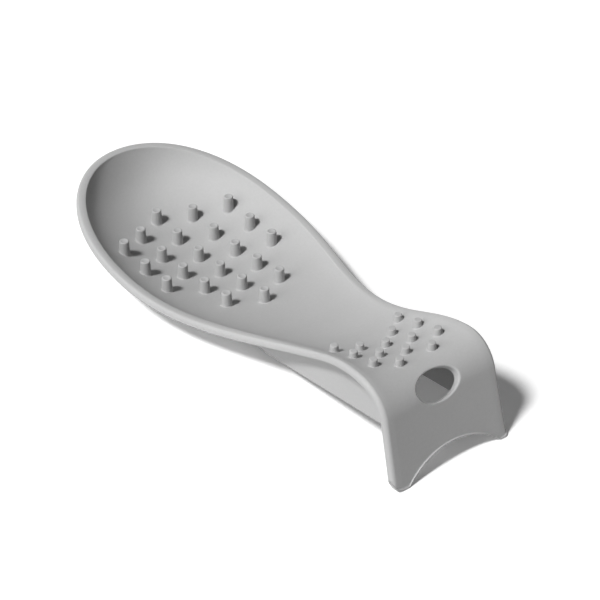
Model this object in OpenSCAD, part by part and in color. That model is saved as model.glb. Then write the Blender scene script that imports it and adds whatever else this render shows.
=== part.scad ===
// Spoon rest: a dished oval bowl, a waisted neck and an arched leg with a hanging hole.
// The row frame has +X from the bowl tip to the feet, +Y across and +Z up.
// The origin lies on the table, at the middle of the length and the width.

/* [Overall] */
// Length from the bowl tip to the front of the feet
overall_l = 241.6; // [230:0.2:255]
// Height of the rim where the neck turns over into the leg
crest_z = 43.6; // [41:0.2:47]
// Thickness of the moulded wall
wall = 3.4; // [2.8:0.1:3.6]

/* [Rim] */
// Width of the flat rim that runs round the whole outline
rim_w = 4.5; // [3.5:0.1:5.5]
// Depth of the rim's outer face
rim_t = 3.6; // [3.2:0.1:5]
// Depth of the small step between the rim and the inside of the bowl
rim_step = 0.6; // [0.3:0.1:1]

/* [Bowl] */
// Width of the bowl over the rim
bowl_w = 95; // [84:0.5:102]
// Distance from the tip to the widest place
bowl_mid = 71; // [64:1:78]
// Height of the rim at the tip
tip_z = 30; // [24:0.4:33]
// Height of the rim where it dips lowest
dip_z = 16.8; // [14:0.4:19]
// Distance from the tip to the lowest place of the rim
dip_at = 100; // [94:1:106]
// Depth of the flat that the underside is cut to, where it stands on the table
base_cut = 0.2; // [0.1:0.05:0.4]
// Distance from the tip to the lowest place of the inner floor
low_at = 62; // [56:1:70]
// Height of the inner floor where it starts to climb to the neck
knee_z = 9; // [7:0.2:10]
// Distance from the tip to that place
knee_at = 115; // [108:1:118]

/* [Neck] */
// Width of the neck at its waist, over the rim
waist_w = 50.4; // [46:0.4:56]
// Distance from the waist to the crest
waist_back = 34.4; // [30:0.4:41.2]
// Height of the rim at the waist
waist_z = 33.7; // [30:0.1:36]
// Depth of the hollow that runs along the neck
trough_d = 5.3; // [4:0.1:6.5]
// Drop of the rim's inner edge along the neck, where the rim leans into the hollow
neck_roll = 1; // [0.4:0.1:1.6]

/* [Leg] */
// Radius of the bend from the neck into the leg
crest_r = 16.6; // [15:0.2:19]
// Lean of the leg from the vertical, in degrees
leg_lean = 14.7; // [12:0.1:17]
// Width of the leg below the bend, over the rim
leg_w = 58.8; // [54:0.4:62]
// Width over the two feet
foot_w = 60.8; // [56:0.4:64]
// Depth of the hollow that is left on the leg's face
leg_trough_d = 0.6; // [0.3:0.1:1]
// Height of the arch between the feet
arch_h = 9.6; // [6:0.2:11]
// Width of the foot on the -Y side, where it stands on the table
near_foot_w = 7.8; // [6:0.2:10]
// Width of the foot on the +Y side, which is the narrower one
far_foot_w = 4.2; // [3.2:0.2:8]
// Radius of the outer corner of the -Y foot
near_foot_r = 4; // [2:0.2:4.4]
// Radius of the outer corner of the +Y foot
far_foot_r = 2.4; // [1.6:0.2:3]

/* [Hanging hole] */
// Width of the oval opening across the leg
hole_w = 21.5; // [19:0.5:26]
// Height of the opening along the leg
hole_h = 13.8; // [12:0.2:15]
// Distance down the leg from the crest to the middle of the hole
hole_down = 16.8; // [15.8:0.2:18]
// Angle by which the opening points higher than the leg's face does there, in degrees
hole_tilt = 10; // [0:1:14]
// Width of the collar round the opening
collar_w = 2.2; // [1.6:0.2:3]
// Depth of the collar
collar_t = 4.4; // [3.4:0.2:5.4]

/* [Support webs] */
// Distance between the middles of the two webs under the neck
web_gap = 35.8; // [30:0.2:38]
// Thickness of each web
web_t = 2.2; // [1.6:0.2:3]
// Height of the webs' lower edge under the bowl
web_low_z = 5; // [4:0.2:6]
// Height of the webs' lower edge where it reaches the leg
web_high_z = 18.8; // [14:0.4:21]
// Distance from the tip to the start of the webs
web_start = 111; // [109:1:114]
// Part of the way from there to the crest along which their lower edge is level
web_flat_share = 0.3; // [0.24:0.02:0.4]

/* [Bowl nubs] */
// Distance between nubs in one row along the bowl
nub_pitch = 16.4; // [15.4:0.2:17.4]
// Distance between neighbouring rows
nub_row = 14.5; // [13.5:0.1:15.5]
// Distance from the tip to the middle of the nub field
nub_field_at = 74.4; // [71:0.2:78]
// Diameter of a nub at its top
nub_d = 4.4; // [3.4:0.1:4.8]
// Diameter of a nub at its foot
nub_foot_d = 5; // [4.8:0.1:5.6]
// Height of a nub above the floor
nub_h = 7; // [5.4:0.2:8]
// Radius of a nub's top edge
nub_edge_r = 0.5; // [0.2:0.1:0.8]

/* [Neck nubs] */
// Distance between nubs in one row along the neck
small_pitch = 12.5; // [11.5:0.1:13.5]
// Distance between neighbouring rows
small_row = 8.5; // [7.6:0.1:9.2]
// Distance from the middle of the nub field to the crest
small_field_back = 16.4; // [14.4:0.2:20.4]
// Diameter of a nub at its top
small_d = 3.4; // [2.6:0.1:3.8]
// Diameter of a nub at its foot
small_foot_d = 4.1; // [3.8:0.1:4.6]
// Height of a nub above the neck
small_h = 3.5; // [2.8:0.1:4]
// Radius of a nub's top edge
small_edge_r = 0.35; // [0.2:0.05:0.5]

/* [Hidden] */
$fa = 4;
$fs = 0.5;

// Colour of the moulding
grey = [0.66, 0.66, 0.66];
// How far a cut runs past what it cuts
over = 1;
// How far a web reaches into the wall that carries it
root = 0.5;

// Slope of the rim at the tip and at the waist, as rise over run
tip_slope_share = -0.17;
waist_slope_share = 0.39;
// Slope of the inner floor where it starts to climb
knee_slope_share = 0.18;
// Bluntness of the bowl's front end
blunt_in_share = 2.2;
blunt_out_share = 0.488;
// Fullness of the outline between the bowl and the waist
shoulder_share = 1.05;
// Part of the hollow that is an even curve, the rest being the steep side
bowl_even_share = 0.75;
neck_even_share = 0.9;
tip_even_share = 0.42;
// Steepness of the side of the bowl
side_power_share = 8;
// Most that the wall thickens where it stands steeply
steep_limit_share = 1.7;
// How far a nub reaches into the wall below it, as a part of the wall's thickness
nub_root_share = 0.45;
// Half the distance that a slope is measured over, as a part of the wall's thickness
feel_share = 0.2;

feel = wall * feel_share;
// Height of the inner floor at its lowest place
floor_z = wall - base_cut;

// Inner half widths, inside the rim
bowl_in = bowl_w / 2 - rim_w;
waist_in = waist_w / 2 - rim_w;
leg_in = leg_w / 2 - rim_w;
foot_in = foot_w / 2 - rim_w;

// The bend and the straight leg below it
bend = 90 - leg_lean;
bend_l = crest_r * bend * PI / 180;
bend_end_z = crest_z - crest_r * (1 - cos(bend));
crest_at = overall_l - crest_r * sin(bend) - bend_end_z * tan(leg_lean);
leg_l = bend_end_z / cos(leg_lean);
// The leg is made too long by this much and is then cut level with the table
leg_spare = rim_t + over;
// Width of the arch at the table, and the middle of it
arch_w = foot_w - near_foot_w - far_foot_w;
arch_at = (near_foot_w - far_foot_w) / 2;
path_end = crest_at + bend_l + leg_l + leg_spare;
// Where the bowl hands over to the neck, and where the hollow starts to fade
join_at = knee_at + rim_w;
waist_at = crest_at - waist_back;
fade_at = crest_at - crest_r;
fade_l = 2 * crest_r + rim_w;
flare_at = crest_at - 2 * crest_r;
flare_l = 2 * crest_r + 2 * rim_w;

// Rows of the two nub fields, measured from the middle of the field
// Each row: place across in row distances, first place along in pitches, number of nubs
bowl_rows_share = [[-2, -1.5, 3], [-1, -2, 5], [0, -2.5, 6], [1, -2, 5], [2, -1.5, 3]];
neck_rows_share = [[-2, -1.25, 3], [-1, -0.75, 3], [0, -0.25, 2], [1, -0.75, 3], [2, -1.25, 3]];

// Numbers of stations along the outline and of lines across it
tip_n = 14;
bowl_n = 6;
neck_n = 12;
bend_n = 8;
leg_n = 4;
across_n = 12;
oval_n = 72;
join_k = tip_n + bowl_n;
crest_k = join_k + neck_n;
bend_k = crest_k + bend_n;
end_k = bend_k + leg_n;

// Curve between two places with given heights and slopes
function blend(s, s0, z0, m0, s1, z1, m1) =
    let (l = s1 - s0, t = (s - s0) / l)
    z0 * (1 + t * t * (2 * t - 3)) + m0 * l * t * (1 - t) * (1 - t)
    + z1 * t * t * (3 - 2 * t) + m1 * l * t * t * (t - 1);

// Smooth step from 0 to 1
function step_up(t) = t <= 0 ? 0 : t >= 1 ? 1 : t * t * (3 - 2 * t);

// Station number to distance from the tip along the path
function station(k) =
    k <= tip_n ? rim_w + (bowl_mid - rim_w) * (1 - cos(90 * k / tip_n))
    : k <= join_k ? bowl_mid + (join_at - bowl_mid) * (k - tip_n) / bowl_n
    : k <= crest_k ? join_at + (crest_at - join_at) * (k - join_k) / neck_n
    : k <= bend_k ? crest_at + bend_l * (k - crest_k) / bend_n
    : crest_at + bend_l + (leg_l + leg_spare) * (k - bend_k) / leg_n;

// Half width inside the rim
function half_in(p) =
    p <= bowl_mid
    ? bowl_in * pow(max(0, 1 - pow((bowl_mid - p) / (bowl_mid - rim_w), blunt_in_share)), blunt_out_share)
    : p <= waist_at
    ? waist_in + (bowl_in - waist_in) * (1 + cos(180 * pow((p - bowl_mid) / (waist_at - bowl_mid), shoulder_share))) / 2
      + flare(p)
    : waist_in + flare(p);

// Widening from the waist over the bend and down to the feet
function flare(p) =
    (leg_in - waist_in) * step_up((p - flare_at) / flare_l)
    + (foot_in - leg_in) * max(0, p - crest_at - bend_l) / leg_l;

// Turn of the path past the crest, in degrees
function turn(p) = p <= crest_at ? 0 : min(bend, (p - crest_at) / crest_r * 180 / PI);

// Height of the rim before the crest
function rim_z(p) =
    p <= dip_at ? blend(p, 0, tip_z, tip_slope_share, dip_at, dip_z, 0)
    : p <= waist_at ? blend(p, dip_at, dip_z, 0, waist_at, waist_z, waist_slope_share)
    : blend(p, waist_at, waist_z, waist_slope_share, crest_at, crest_z, 0);

// Point on the path of the rim's top, in the middle plane
function path(p) =
    p <= crest_at ? [p - overall_l / 2, 0, rim_z(p)]
    : let (a = turn(p), rest = max(0, p - crest_at - bend_l))
    [
        crest_at - overall_l / 2 + crest_r * sin(a) + rest * sin(leg_lean),
        0,
        crest_z - crest_r * (1 - cos(a)) - rest * cos(leg_lean)
    ];

// Direction out of the moulding's upper face
function out(p) = [sin(turn(p)), 0, cos(turn(p))];

// How far the neck's form has taken over from the bowl's, from 0 to 1
function neck_part(p) = step_up((p - knee_at) / (waist_at - knee_at));

// Drop of the rim's inner edge: a step on the bowl, a lean on the neck, nothing on the leg
function lip(p) =
    rim_step * (1 - neck_part(p))
    + neck_roll * neck_part(p) * (1 - step_up((p - fade_at) / fade_l));

// Height of the inner floor along the middle, before the waist
function floor_mid(p) =
    p <= low_at
    ? let (r = (low_at - p) / (low_at - rim_w))
      floor_z + (rim_z(rim_w) - rim_step - floor_z)
      * (tip_even_share * r * r + (1 - tip_even_share) * pow(r, side_power_share))
    : p <= knee_at ? blend(p, low_at, floor_z, 0, knee_at, knee_z, knee_slope_share)
    : blend(p, knee_at, knee_z, knee_slope_share, waist_at, waist_z - trough_d, waist_slope_share);

// Depth of the hollow below the rim's inner edge
function depth(p) =
    p <= waist_at ? max(0, rim_z(p) - lip(p) - floor_mid(p))
    : trough_d + (leg_trough_d - trough_d) * step_up((p - fade_at) / fade_l) - lip(p);

// Shape of the hollow from its middle at 0 to the rim at 1
function hollow(p, t) =
    let (e = bowl_even_share + (neck_even_share - bowl_even_share) * step_up((p - dip_at) / (waist_at - dip_at)))
    e * t * t + (1 - e) * pow(abs(t), side_power_share);

// Point on the inner face, with t from -1 to 1 across it
function inner(p, t) =
    path(p) + [0, half_in(p) * t, 0] - out(p) * (lip(p) + depth(p) * (1 - hollow(p, t)));

// How far below the rim's top the inner face lies
function sink(p, t) = lip(p) + depth(p) * (1 - hollow(p, t));

// Steepness of the inner face, which the wall's upright thickness follows
function steep(p, t) =
    let (
        w = max(half_in(p), rim_w),
        dy = depth(p) * (hollow(p, min(1, abs(t) + feel / w)) - hollow(p, max(0, abs(t) - feel / w))) / (2 * feel),
        dx = p > crest_at ? 0 : (rim_z(p + feel) - sink(p + feel, 0) - rim_z(p - feel) + sink(p - feel, 0)) / (2 * feel)
    )
    min(steep_limit_share, sqrt(1 + dy * dy + dx * dx));

// Point on the outer face under inner(p, t)
function outer(p, t, thick) = inner(p, t) - out(p) * thick * steep(p, t);

// Lines across the moulding lie closer together at the sides
function across(j) = sin(90 * j / across_n);

// Closed slab between two grids of points; a pinched slab starts in one point
module slab(top_rows, low_rows, pinched) {
    rows = len(top_rows);
    cols = len(top_rows[0]);
    flat_top = pinched
        ? concat([top_rows[0][0]], [for (i = [1 : rows - 1], j = [0 : cols - 1]) top_rows[i][j]])
        : [for (i = [0 : rows - 1], j = [0 : cols - 1]) top_rows[i][j]];
    flat_low = pinched
        ? concat([low_rows[0][0]], [for (i = [1 : rows - 1], j = [0 : cols - 1]) low_rows[i][j]])
        : [for (i = [0 : rows - 1], j = [0 : cols - 1]) low_rows[i][j]];
    shift = len(flat_top);
    function id(i, j) = pinched ? (i == 0 ? 0 : 1 + (i - 1) * cols + j) : i * cols + j;
    faces = [
        for (i = [0 : rows - 2], j = [0 : cols - 2])
            let (a = id(i, j), b = id(i + 1, j), c = id(i + 1, j + 1), d = id(i, j + 1))
            each concat(
                [[a, c, b], [a + shift, b + shift, c + shift]],
                a == d ? [] : [[a, d, c], [a + shift, c + shift, d + shift]]
            ),
        for (i = [0 : rows - 2])
            let (a = id(i, 0), b = id(i + 1, 0), c = id(i, cols - 1), d = id(i + 1, cols - 1))
            each [
                [a, b, b + shift], [a, b + shift, a + shift],
                [c, d + shift, d], [c, c + shift, d + shift]
            ],
        for (j = [0 : cols - 2])
            let (a = id(rows - 1, j), b = id(rows - 1, j + 1), c = id(0, j), d = id(0, j + 1))
            each concat(
                [[a, b, b + shift], [a, b + shift, a + shift]],
                pinched ? [] : [[c, d + shift, d], [c, c + shift, d + shift]]
            )
    ];
    polyhedron(points = concat(flat_top, flat_low), faces = faces, convexity = 8);
}

// Part of the moulded wall between two stations
module wall_part(k0, k1, thick) {
    slab(
        [for (k = [k0 : k1]) [for (j = [-across_n : across_n]) inner(station(k), across(j))]],
        [for (k = [k0 : k1]) [for (j = [-across_n : across_n]) outer(station(k), across(j), thick)]],
        k0 == 0
    );
}

// Inner edge of the rim; stations below 0 lie on the other side of the tip
function edge(k) =
    let (p = station(abs(k)))
    path(p) + [0, (k < 0 ? -1 : 1) * half_in(p), 0];

// Section of the rim: outward share of rim_w, downward share of rim_t, share of the step
rim_section_share = [
    [0, 0, 1], [0.05, 0, 0.3], [0.16, 0, 0], [0.72, 0, 0], [0.87, 0.07, 0], [0.97, 0.2, 0],
    [1, 0.36, 0], [1, 0.78, 0], [0.94, 0.94, 0], [0.82, 1, 0], [0, 1, 0]
];
// The same section along the neck, where the top leans into the hollow
neck_section_share = [
    [0, 0, 1], [0.12, 0, 0.72], [0.3, 0, 0.39], [0.55, 0, 0.1], [0.8, 0.03, 0], [0.95, 0.16, 0],
    [1, 0.36, 0], [1, 0.78, 0], [0.94, 0.94, 0], [0.82, 1, 0], [0, 1, 0]
];
// The same section down the leg, where the corner is rounder
leg_section_share = [
    [0, 0, 1], [0.05, 0, 0.3], [0.16, 0, 0], [0.42, 0.03, 0], [0.66, 0.13, 0], [0.86, 0.32, 0],
    [0.97, 0.56, 0], [1, 0.78, 0], [0.97, 0.93, 0], [0.88, 1, 0], [0, 1, 0]
];

// One section of the rim at a station
function rim_ring(k) =
    let (
        p = station(abs(k)),
        t = edge(k + 1) - edge(k - 1),
        u = out(p),
        o = cross(u, t),
        side = o / norm(o),
        n = neck_part(p),
        g = step_up((p - flare_at) / flare_l)
    )
    [
        for (j = [0 : len(rim_section_share) - 1])
            let (
                before = rim_section_share[j] * (1 - n) + neck_section_share[j] * n,
                q = before * (1 - g) + leg_section_share[j] * g
            )
            edge(k) + side * rim_w * q[0] - u * (rim_t * q[1] + lip(p) * q[2])
    ];

// Part of the rim between two stations, on one side or round the tip
module rim_part(k0, k1) {
    rings = [for (k = [k0 : k1]) rim_ring(k)];
    m = len(rim_section_share);
    n = len(rings);
    polyhedron(
        points = [for (r = rings, v = r) v],
        faces = concat(
            [
                for (i = [0 : n - 2], j = [0 : m - 1])
                    let (a = i * m + j, b = i * m + (j + 1) % m)
                    each [[a, b, b + m], [a, b + m, a + m]]
            ],
            [[for (j = [m - 1 : -1 : 0]) j], [for (j = [0 : m - 1]) (n - 1) * m + j]]
        ),
        convexity = 8
    );
}

// Everything below the table
module below_table() {
    translate([-overall_l, -bowl_w, -overall_l])
        cube([2 * overall_l, 2 * bowl_w, overall_l]);
}

// Oval opening across the leg
module hole_cut(grow) {
    p = crest_at + hole_down;
    wide = hole_w + 2 * grow;
    high = hole_h + 2 * grow;
    translate(path(p))
        rotate([0, turn(p) - hole_tilt, 0])
        translate([0, 0, -crest_r])
        linear_extrude(height = 2 * crest_r)
        scale([high / wide, 1])
        circle(d = wide, $fn = oval_n);
}

// Arch between the feet
module arch_cut() {
    r = (arch_w * arch_w / 4 + arch_h * arch_h) / (2 * arch_h);
    translate([crest_at - overall_l / 2, arch_at, arch_h - r])
        rotate([0, 90, 0])
        cylinder(r = r, h = overall_l / 2, $fa = 2);
}

// Rounded outer corner of one foot, as the material that is cut away
module foot_corner(r) {
    translate([crest_at - overall_l / 2, foot_w / 2 - r, 0])
        rotate([90, 0, 90])
        linear_extrude(height = overall_l / 2)
        difference() {
            translate([0, -over])
                square([r + over, r + over]);
            translate([0, r])
                circle(r = r);
        }
}

// Dished oval bowl, cut flat where it stands on the table
module bowl_shell() {
    color(grey)
        difference() {
            wall_part(0, join_k, wall);
            below_table();
        }
}

// Flat rim round the bowl
module bowl_rim() {
    color(grey)
        rim_part(-join_k, join_k);
}

// Waisted neck that climbs from the bowl to the crest
module neck_bridge() {
    color(grey)
        wall_part(join_k, crest_k, wall);
}

// The rim along the two sides of the neck
module neck_edges() {
    color(grey) {
        rim_part(join_k, crest_k);
        rim_part(-crest_k, -join_k);
    }
}

// Sheet that bends over the crest and comes down to the feet
module leg_panel() {
    color(grey)
        difference() {
            wall_part(crest_k, end_k, wall);
            hole_cut(collar_w);
            arch_cut();
            below_table();
        }
}

// The rim down the two sides of the leg, with a foot at each lower end
module leg_edges() {
    color(grey)
        difference() {
            for (s = [0, 1])
                mirror([0, s, 0])
                    difference() {
                        rim_part(crest_k, end_k);
                        foot_corner(s == 0 ? far_foot_r : near_foot_r);
                    }
            below_table();
            arch_cut();
        }
}

// Thick collar round the hanging hole, level with the leg's face
module hole_collar() {
    color(grey)
        difference() {
            intersection() {
                wall_part(crest_k, end_k, collar_t);
                hole_cut(collar_w);
            }
            hole_cut(0);
        }
}

// Where the underside lies over one of the webs
function under_web(p) =
    let (v = outer(p, web_gap / 2 / half_in(p), wall) + out(p) * root)
    [v[0], v[2]];

// Place down the leg where the lower edge of the webs meets it
web_end = path_end - leg_spare - web_high_z / cos(leg_lean);
// Distance from the tip to the place where their lower edge starts to climb
web_turn = web_start + (crest_at - web_start) * web_flat_share;

// Two upright webs between the bowl, the neck and the back of the leg
module support_webs() {
    steps = 24;
    shape = concat(
        [for (i = [0 : steps]) under_web(web_start + (web_end - web_start) * i / steps)],
        [[web_turn - overall_l / 2, web_low_z], [web_start - overall_l / 2, web_low_z]]
    );
    color(grey)
        for (s = [-1, 1])
            translate([0, s * web_gap / 2 + web_t / 2, 0])
                rotate([90, 0, 0])
                linear_extrude(height = web_t)
                polygon(shape);
}

// Distance along the path for a place along X
function at_x(x) =
    x <= crest_at ? x : crest_at + asin(min(1, (x - crest_at) / crest_r)) * crest_r * PI / 180;

// One upright nub with a rounded top edge, rooted in the wall
module nub(x, y, top_d, foot_d, high, edge_r) {
    p = at_x(x);
    low = wall * nub_root_share;
    translate(inner(p, y / half_in(p)))
        rotate_extrude($fn = 32)
        union() {
            polygon([
                [0, -low],
                [foot_d / 2, -low],
                [foot_d / 2, 0],
                [top_d / 2, high - edge_r],
                [top_d / 2 - edge_r, high],
                [0, high]
            ]);
            intersection() {
                translate([top_d / 2 - edge_r, high - edge_r])
                    circle(r = edge_r);
                square([top_d, high]);
            }
        }
}

// Twenty-two tall nubs on the floor of the bowl
module bowl_nubs() {
    color(grey)
        for (row = bowl_rows_share, i = [0 : row[2] - 1])
            nub(
                nub_field_at + (row[1] + i) * nub_pitch,
                row[0] * nub_row,
                nub_d, nub_foot_d, nub_h, nub_edge_r
            );
}

// Fourteen short nubs at the top of the neck
module neck_nubs() {
    color(grey)
        for (row = neck_rows_share, i = [0 : row[2] - 1])
            nub(
                crest_at - small_field_back + (row[1] + i) * small_pitch,
                row[0] * small_row,
                small_d, small_foot_d, small_h, small_edge_r
            );
}

bowl_shell();
bowl_rim();
neck_bridge();
neck_edges();
leg_panel();
leg_edges();
hole_collar();
support_webs();
bowl_nubs();
neck_nubs();
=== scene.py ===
"""Looks of a silicone spoon rest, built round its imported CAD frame.

The row frame has +X from the bowl's tip to the feet, +Y across and +Z up, in metres.
The whole object is one grey moulding: a dished bowl with tall nubs, a waisted neck with
short nubs, a leg that bends down to two feet, a hanging hole and two webs under the neck.
"""

import logging
import math
from abc import ABC, abstractmethod
from collections.abc import Callable, Iterable
from dataclasses import dataclass, field
from enum import Enum

import bmesh
import bpy
import numpy as np
from mathutils import Matrix, Vector


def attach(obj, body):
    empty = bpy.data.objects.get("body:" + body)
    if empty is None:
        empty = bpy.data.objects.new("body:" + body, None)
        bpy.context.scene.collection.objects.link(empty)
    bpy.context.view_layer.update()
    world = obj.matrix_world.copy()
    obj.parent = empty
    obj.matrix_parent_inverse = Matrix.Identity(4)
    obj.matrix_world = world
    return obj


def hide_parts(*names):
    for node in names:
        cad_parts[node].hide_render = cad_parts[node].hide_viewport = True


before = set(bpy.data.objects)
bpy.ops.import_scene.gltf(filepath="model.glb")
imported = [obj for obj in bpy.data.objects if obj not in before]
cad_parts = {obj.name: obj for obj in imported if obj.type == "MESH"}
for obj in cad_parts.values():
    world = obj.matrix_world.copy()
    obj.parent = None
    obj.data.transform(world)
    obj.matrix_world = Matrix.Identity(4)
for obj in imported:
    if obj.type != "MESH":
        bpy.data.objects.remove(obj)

LOG = logging.getLogger("spoon_rest")
MM = 0.001
TINY = 1e-12
WHITE = (1.0, 1.0, 1.0, 1.0)

Array = np.ndarray
Places = float | np.ndarray
Pair = tuple[float, float]
Point = tuple[float, float, float]
Knot = tuple[float, float, float]
Tree = bpy.types.NodeTree
Socket = bpy.types.NodeSocket
Object = bpy.types.Object
Material = bpy.types.Material


class Slot(Enum):
    """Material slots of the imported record."""

    SILICONE = "silicone"


class Side(Enum):
    """The two sides of the moulding, as seen from the photograph."""

    NEAR = -1
    FAR = 1


class Join(Enum):
    """Ways in which a node joins two values."""

    ADD = "ADD"
    MULTIPLY = "MULTIPLY"


@dataclass(frozen=True)
class SiliconeFinish:
    """Look of the matte moulded silicone.

    The noises are pairs of a scale, in waves to the metre, and a detail.

    Args:
        colour: linear grey of the moulding.
        colour_spread: how far the colour drifts from place to place.
        drift: noise behind that drift.
        roughness: how broad the sheen is.
        roughness_spread: how far handling has changed the roughness in patches.
        patches: noise behind those patches.
        dust: how much paler the specks of dust are.
        specks: noise behind the dust.
        grain: height of the moulded grain, in metres.
        grain_strength: how much of the grain shows.
        grains: noise behind the grain.
        noise_low, noise_high: part of a noise's range that is used.
        specular: how strongly the surface reflects.
    """

    colour: float = 0.4
    colour_spread: float = 0.008
    drift: Pair = (22.0, 3.0)
    roughness: float = 0.62
    roughness_spread: float = 0.06
    patches: Pair = (60.0, 4.0)
    dust: float = 0.016
    specks: Pair = (900.0, 2.0)
    grain: float = 0.06 * MM
    grain_strength: float = 0.25
    grains: Pair = (2600.0, 2.0)
    noise_low: float = 0.3
    noise_high: float = 0.7
    specular: float = 0.35


@dataclass(frozen=True)
class FormSizes:
    """Sizes of the moulding, in metres, the same as in the CAD source.

    Places along the path count from the bowl's tip.

    Args:
        overall_l: length of the moulding.
        crest_z: height of the crest, where the neck bends down into the leg.
        wall: thickness of the shell.
        rim_w, rim_t: width and depth of the rim.
        rim_step: drop from the rim to the bowl's inner face.
        bowl_w, bowl_mid: greatest width of the bowl, and its place.
        tip_z, tip_slope: height and slope of the rim at the tip.
        dip_z, dip_at: least height of the rim, and its place.
        floor_z, low_at: least height of the inner floor, and its place.
        knee_z, knee_at, knee_slope: where the floor turns up into the neck.
        waist_w, waist_z, waist_slope: the rim at the narrowest place of the neck.
        waist_back: how far that place lies before the crest.
        trough_d: depth of the neck's hollow.
        neck_roll: drop of the neck's rim to its inner edge.
        crest_r: radius of the bend.
        leg_lean: how far the leg leans outward.
        leg_w, foot_w: width of the leg under the bend and at the feet.
        leg_trough_d: depth of the leg's hollow.
        arch_h: height of the arch between the feet.
        near_foot_w, far_foot_w: widths of the feet.
        near_foot_r, far_foot_r: radii of their outer corners.
        hole_w, hole_h: width and height of the hanging hole.
        hole_down: how far its middle lies past the crest.
        hole_tilt: how far it is turned from square to the face.
        collar_t: depth of its collar.
        blunt_in, blunt_out: powers of the outline round the tip.
        shoulder: power of the outline from the bowl to the waist.
        bowl_even, neck_even, tip_even: share of the hollow's even rise in each part.
        side_power: power of the steep rise at the hollow's side.
        steep_limit: most that a steep wall is thickened.
    """

    overall_l: float = 241.6 * MM
    crest_z: float = 43.6 * MM
    wall: float = 3.4 * MM
    rim_w: float = 4.5 * MM
    rim_t: float = 3.6 * MM
    rim_step: float = 0.6 * MM
    bowl_w: float = 95.0 * MM
    bowl_mid: float = 71.0 * MM
    tip_z: float = 30.0 * MM
    tip_slope: float = -0.17
    dip_z: float = 16.8 * MM
    dip_at: float = 100.0 * MM
    floor_z: float = 3.2 * MM
    low_at: float = 62.0 * MM
    knee_z: float = 9.0 * MM
    knee_at: float = 115.0 * MM
    knee_slope: float = 0.18
    waist_w: float = 50.4 * MM
    waist_z: float = 33.7 * MM
    waist_slope: float = 0.39
    waist_back: float = 34.4 * MM
    trough_d: float = 5.3 * MM
    neck_roll: float = 1.0 * MM
    crest_r: float = 16.6 * MM
    leg_lean: float = math.radians(14.7)
    leg_w: float = 58.8 * MM
    foot_w: float = 60.8 * MM
    leg_trough_d: float = 0.6 * MM
    arch_h: float = 9.6 * MM
    near_foot_w: float = 7.8 * MM
    far_foot_w: float = 4.2 * MM
    near_foot_r: float = 4.0 * MM
    far_foot_r: float = 2.4 * MM
    hole_w: float = 21.5 * MM
    hole_h: float = 13.8 * MM
    hole_down: float = 16.8 * MM
    hole_tilt: float = math.radians(10.0)
    collar_t: float = 4.4 * MM
    blunt_in: float = 2.2
    blunt_out: float = 0.488
    shoulder: float = 1.05
    bowl_even: float = 0.75
    neck_even: float = 0.9
    tip_even: float = 0.42
    side_power: float = 8.0
    steep_limit: float = 1.7


def step_up(t: Places) -> Array:
    """Smooth step from 0 to 1."""
    t = np.clip(t, 0.0, 1.0)
    return t * t * (3 - 2 * t)


def quarter(count: int) -> Array:
    """Angles from 0 to a quarter turn, as many as asked for."""
    return np.linspace(0, math.pi / 2, count)


def blend(p: Array, start: Knot, end: Knot) -> Array:
    """Curve between two knots, each a place, a height and a slope.

    Args:
        p: places along the path.
        start: knot at which the curve starts.
        end: knot at which it ends.

    Returns:
        Heights at the places.
    """
    (p0, z0, m0), (p1, z1, m1) = start, end
    span = p1 - p0
    t = (p - p0) / span
    return (
        z0 * (1 + t * t * (2 * t - 3))
        + m0 * span * t * (1 - t) ** 2
        + z1 * t * t * (3 - 2 * t)
        + m1 * span * t * t * (t - 1)
    )


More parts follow.
